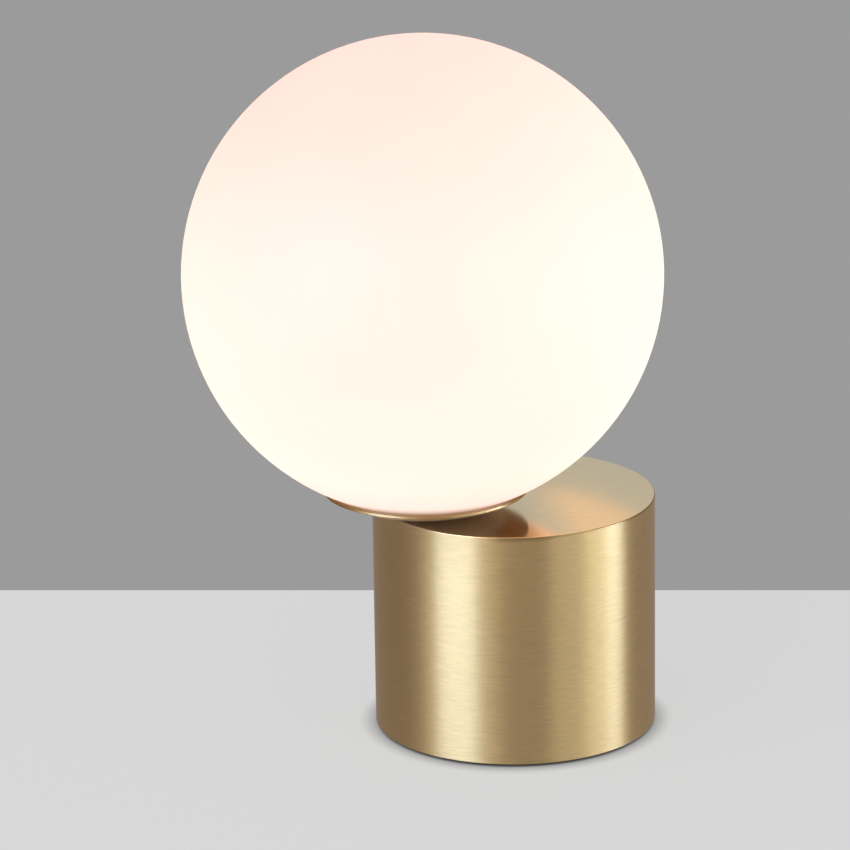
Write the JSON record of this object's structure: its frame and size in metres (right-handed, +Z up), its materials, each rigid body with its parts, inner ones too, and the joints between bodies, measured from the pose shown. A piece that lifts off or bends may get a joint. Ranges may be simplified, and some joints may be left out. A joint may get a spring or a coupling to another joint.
{
  "type": "bedside lamp",
  "caption": "Bedside lamp: an opal glass globe seated in a shallow brass dish that stands off-centre on a brushed brass drum, with a two-pin bulb inside.",
  "frame": {"origin": "on the table, on the drum's axis, at the middle of the foot's lower face", "axes": "+Z up along the drum's axis, the globe stands off towards -X, the cord enters at +X"},
  "size_m": [0.2035, 0.1998, 0.3028],
  "materials": {
    "brushed_brass": "brushed",
    "bare_brass": "turned",
    "opal_glass": "gloss",
    "zinc_steel": "satin",
    "spring_steel": "gloss",
    "cast_iron": "cast",
    "black_rubber": "matte",
    "black_plastic": "satin",
    "white_nylon": "satin",
    "clear_silicone": "satin",
    "white_ceramic": "matte",
    "brown_silicone": "satin",
    "blue_silicone": "satin",
    "green_silicone": "satin",
    "bulb_white": "gloss",
    "led_phosphor": "satin",
    "frosted_cover": "satin"
  },
  "bodies": {
    "base": {"drum": "brushed_brass", "posts": "zinc_steel", "weight": "cast_iron", "bottom_plate": "zinc_steel", "plate_screws": "zinc_steel", "rubber_foot": "black_rubber", "cord_bush": "black_plastic", "bush_nut": "black_plastic", "terminal_block": "white_nylon", "terminal_tubes": "bare_brass", "clamp_screws": "zinc_steel", "block_screws": "zinc_steel", "stem": "zinc_steel", "tooth_washer": "spring_steel", "earth_tag": "bare_brass", "lower_nut": "zinc_steel", "upper_nut": "zinc_steel", "dish": "brushed_brass", "gasket": "clear_silicone", "collar": "bare_brass", "globe_spring": "spring_steel", "bracket": "zinc_steel", "lampholder": "white_ceramic", "contacts": "bare_brass", "holder_screws": "zinc_steel", "holder_nuts": "zinc_steel", "live_wire": "brown_silicone", "neutral_wire": "blue_silicone", "earth_wire": "green_silicone"},
    "glass_globe": {"globe": "opal_glass"},
    "bulb": {"bulb_base": "bulb_white", "bulb_pins": "spring_steel", "bulb_board": "bulb_white", "bulb_leds": "led_phosphor", "bulb_cover": "frosted_cover"}
  },
  "joints": [
    {"name": "globe_lift", "type": "slide", "parent": "base", "child": "glass_globe", "axis": [0, 0, 1], "range_m": [0, 0.12], "deforming": ["globe_spring"]},
    {"name": "bulb_pull", "type": "slide", "parent": "base", "child": "bulb", "axis": [0, 0, 1], "range_m": [0, 0.022]}
  ]
}
